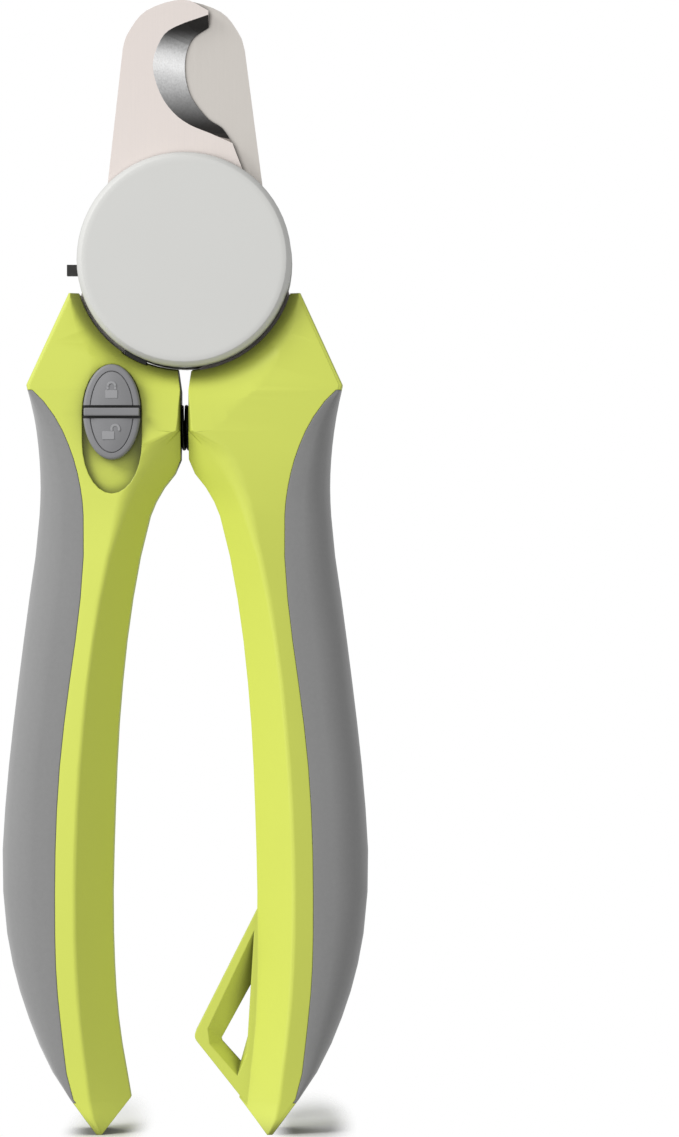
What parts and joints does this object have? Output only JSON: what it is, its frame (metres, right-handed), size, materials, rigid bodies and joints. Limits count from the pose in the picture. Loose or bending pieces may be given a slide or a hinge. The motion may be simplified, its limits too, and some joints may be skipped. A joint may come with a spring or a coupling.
{
  "type": "scissor nail clipper",
  "caption": "Scissor-type pet nail clipper: two hooked steel blades on one pivot, green handles with grey grips, thumb lock, return spring, swinging nail guard and hanging loop.",
  "frame": {"origin": "on the pivot axis, at the flat outer face of the rear cap", "axes": "+Z along the length towards the blade tips, +Y the rear cap's outward normal, so the round front cap faces -Y; +X to the right of a viewer who faces the front cap"},
  "size_m": [0.0534, 0.0178, 0.165],
  "materials": {
    "green_plastic": "satin moulded",
    "grip_rubber": "matt soft-touch",
    "cap_plastic": "satin",
    "blade_steel": "brushed, ground at the edge",
    "black_plastic": "matt",
    "button_plastic": "matt",
    "black_spring": "black oxide"
  },
  "bodies": {
    "left_handle": {"left_front_shell": "green_plastic", "left_rear_shell": "green_plastic", "left_grip": "grip_rubber", "rear_blade": "blade_steel", "left_screw_top": "blade_steel", "left_screw_mid": "blade_steel", "left_screw_low": "blade_steel", "pivot_bolt": "blade_steel", "pivot_nut": "blade_steel", "front_spacer": "cap_plastic", "guard_washer": "black_plastic", "front_cap": "cap_plastic", "rear_cap": "cap_plastic", "lock_detent_spring": "blade_steel", "return_spring": "black_spring"},
    "right_handle": {"right_front_shell": "green_plastic", "right_rear_shell": "green_plastic", "right_grip": "grip_rubber", "front_blade": "blade_steel", "right_screw_top": "blade_steel", "right_screw_mid": "blade_steel", "right_screw_low": "blade_steel"},
    "lock": {"lock_button": "button_plastic", "lock_slide": "black_plastic"},
    "guard": {"guard_plate": "blade_steel", "guard_tab": "black_plastic"}
  },
  "joints": [
    {"name": "handle_pivot", "type": "hinge", "parent": "left_handle", "child": "right_handle", "pos_m": [0, -0.0089, 0], "axis": [0, -1, 0], "range_deg": [0, 20], "deforming": ["return_spring"]},
    {"name": "lock_travel", "type": "slide", "parent": "left_handle", "child": "lock", "axis": [0, 0, -1], "range_m": [0, 0.0048]},
    {"name": "guard_swing", "type": "hinge", "parent": "left_handle", "child": "guard", "pos_m": [0, -0.0089, 0], "axis": [0, 1, 0], "range_deg": [0, 40]}
  ]
}
